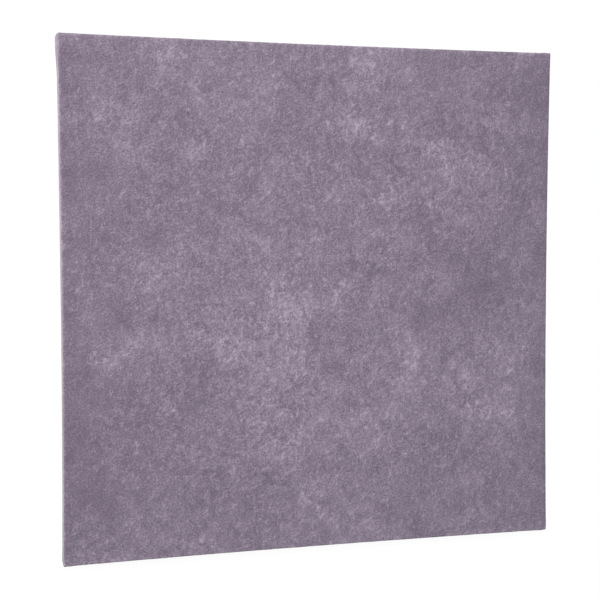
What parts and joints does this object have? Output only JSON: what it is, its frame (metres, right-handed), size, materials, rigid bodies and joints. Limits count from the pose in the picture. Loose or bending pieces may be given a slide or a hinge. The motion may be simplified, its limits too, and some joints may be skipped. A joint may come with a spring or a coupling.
{
  "type": "bass trap",
  "caption": "Square fabric-wrapped acoustic absorber panel: a softwood frame filled with mineral wool, covered in velour and closed with a backing cloth.",
  "frame": {"origin": "middle of the back, on the surface that the panel lies on", "axes": "+X across the panel to its right edge and +Y to its top edge as it would hang, +Z out of the fabric face"},
  "size_m": [0.6, 0.6, 0.03],
  "materials": {
    "softwood": "planed, untreated",
    "mineral_wool": "matte fibrous slab",
    "velour": "brushed matte pile",
    "backing_fleece": "matte spun-bonded non-woven"
  },
  "bodies": {
    "root": {"top_rail": "softwood", "bottom_rail": "softwood", "left_rail": "softwood", "right_rail": "softwood", "absorber_core": "mineral_wool", "fabric_cover": "velour", "backing_cloth": "backing_fleece"}
  },
  "joints": []
}
